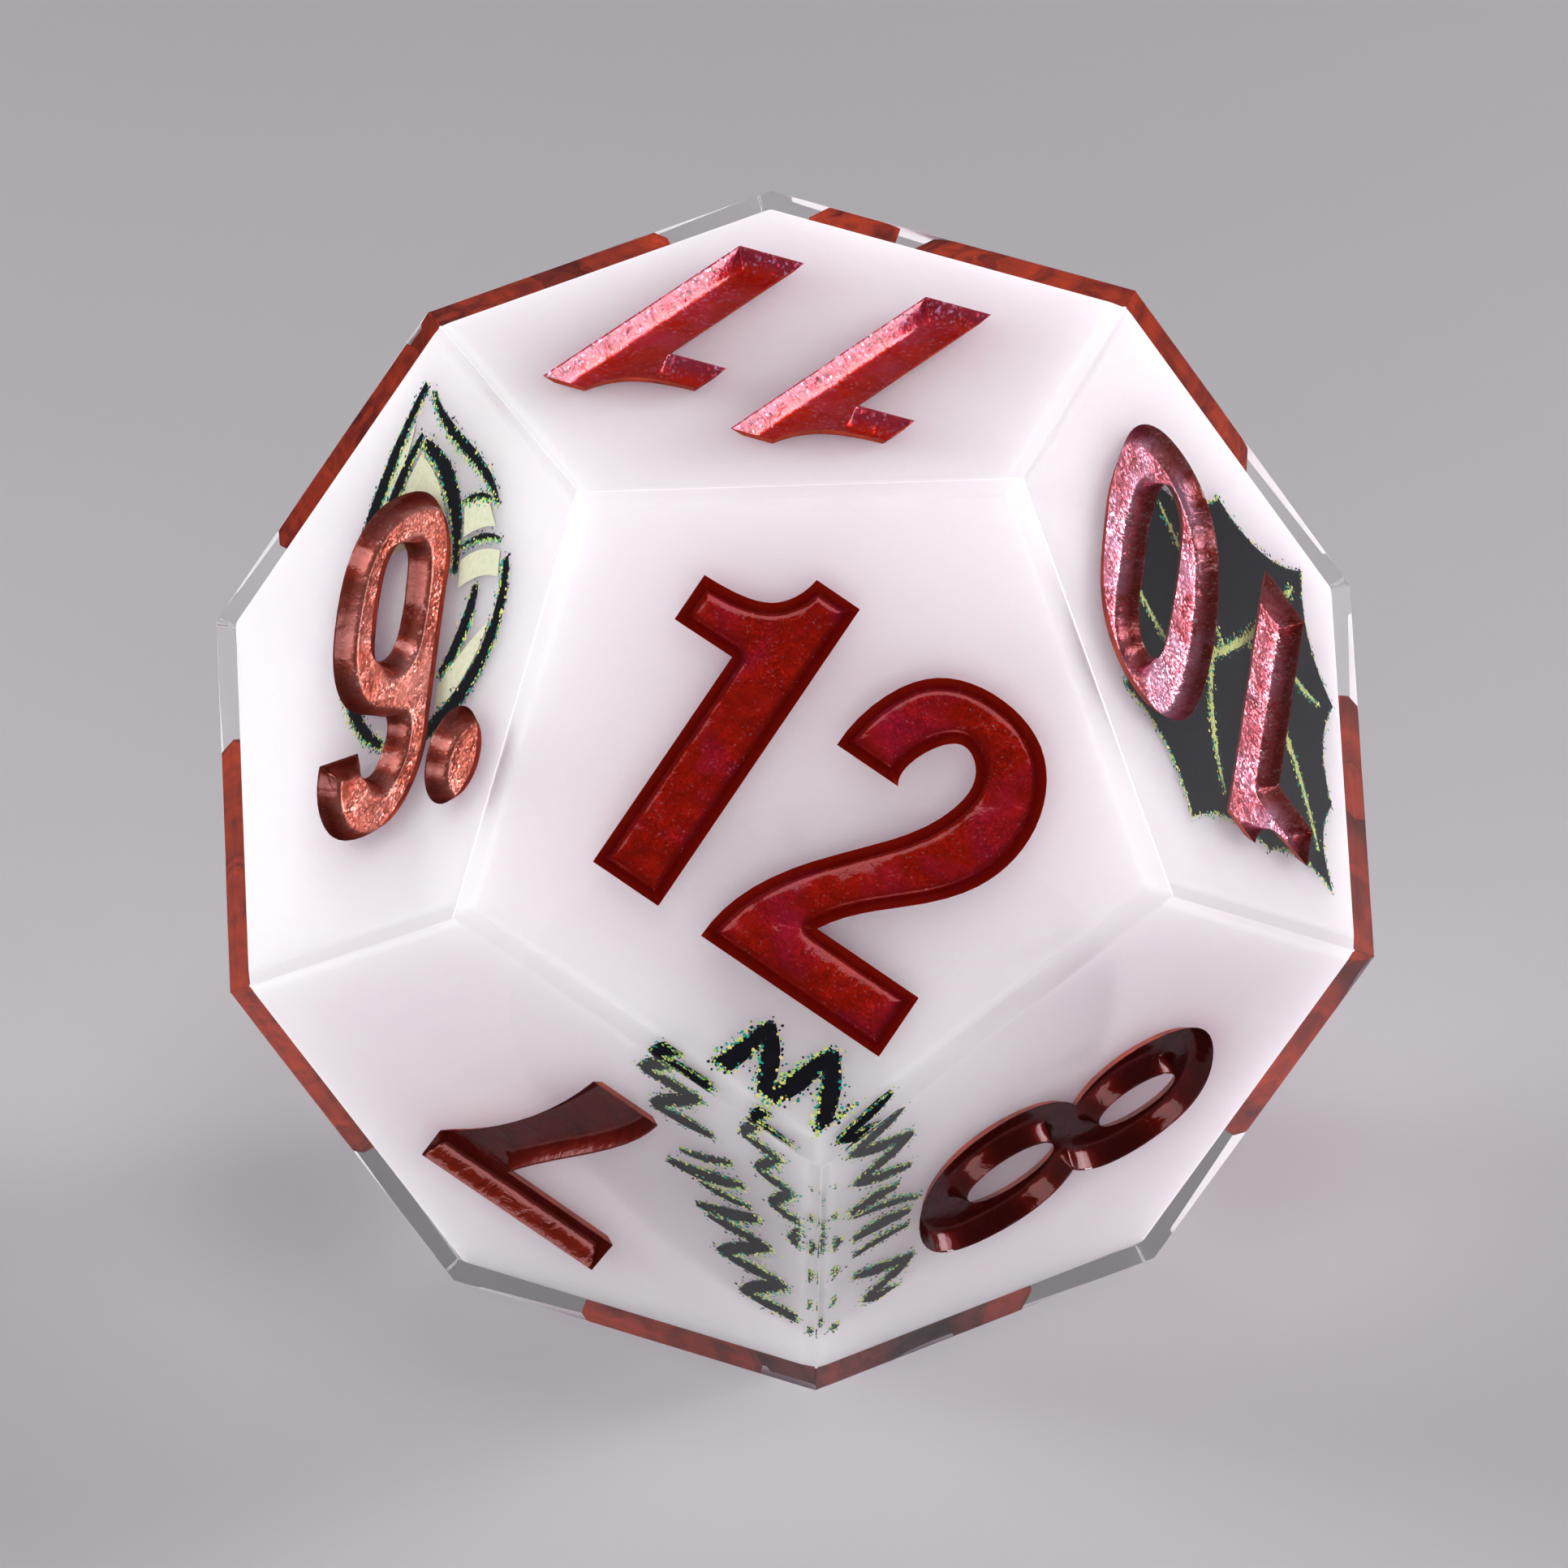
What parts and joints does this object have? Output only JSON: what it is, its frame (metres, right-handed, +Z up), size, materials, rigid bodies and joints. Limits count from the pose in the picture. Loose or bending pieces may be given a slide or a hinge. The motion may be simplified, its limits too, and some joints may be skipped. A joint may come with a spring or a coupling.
{
  "type": "twelve-sided die",
  "caption": "Sharp-edged regular dodecahedral die: opaque core with printed films sealed in a clear casting, engraved numerals on every face lined with metallic paint.",
  "frame": {"origin": "centre of the face the die rests on, the face numbered 2", "axes": "+Z up through the opposite face, numbered 11; -Y towards the viewer, over the foot of the upper side face numbered 12"},
  "size_m": [0.0224, 0.0234, 0.019],
  "materials": {
    "clear_resin": "polished",
    "milky_resin": "satin",
    "clear_film": "polished",
    "black_print": "satin",
    "cream_print": "satin",
    "lime_print": "satin",
    "metallic_paint": "satin"
  },
  "bodies": {
    "root": {"clear_shell": "clear_resin", "film_07": "clear_film", "film_08": "clear_film", "film_09": "clear_film", "film_10": "clear_film", "film_12": "clear_film", "ink_01": "metallic_paint", "ink_02": "metallic_paint", "ink_03": "metallic_paint", "ink_04": "metallic_paint", "ink_05": "metallic_paint", "ink_06": "metallic_paint", "ink_06_dot": "metallic_paint", "ink_07": "metallic_paint", "ink_08": "metallic_paint", "ink_09": "metallic_paint", "ink_09_dot": "metallic_paint", "ink_10_one": "metallic_paint", "ink_10_zero": "metallic_paint", "ink_11_tens": "metallic_paint", "ink_11_units": "metallic_paint", "ink_12_one": "metallic_paint", "ink_12_two": "metallic_paint", "print_07_marks": "black_print", "print_08_marks": "black_print", "print_09_bands": "cream_print", "print_09_lines": "black_print", "print_10_leaf": "black_print", "print_10_veins": "lime_print", "print_12_marks": "black_print", "white_core": "milky_resin"}
  },
  "joints": []
}
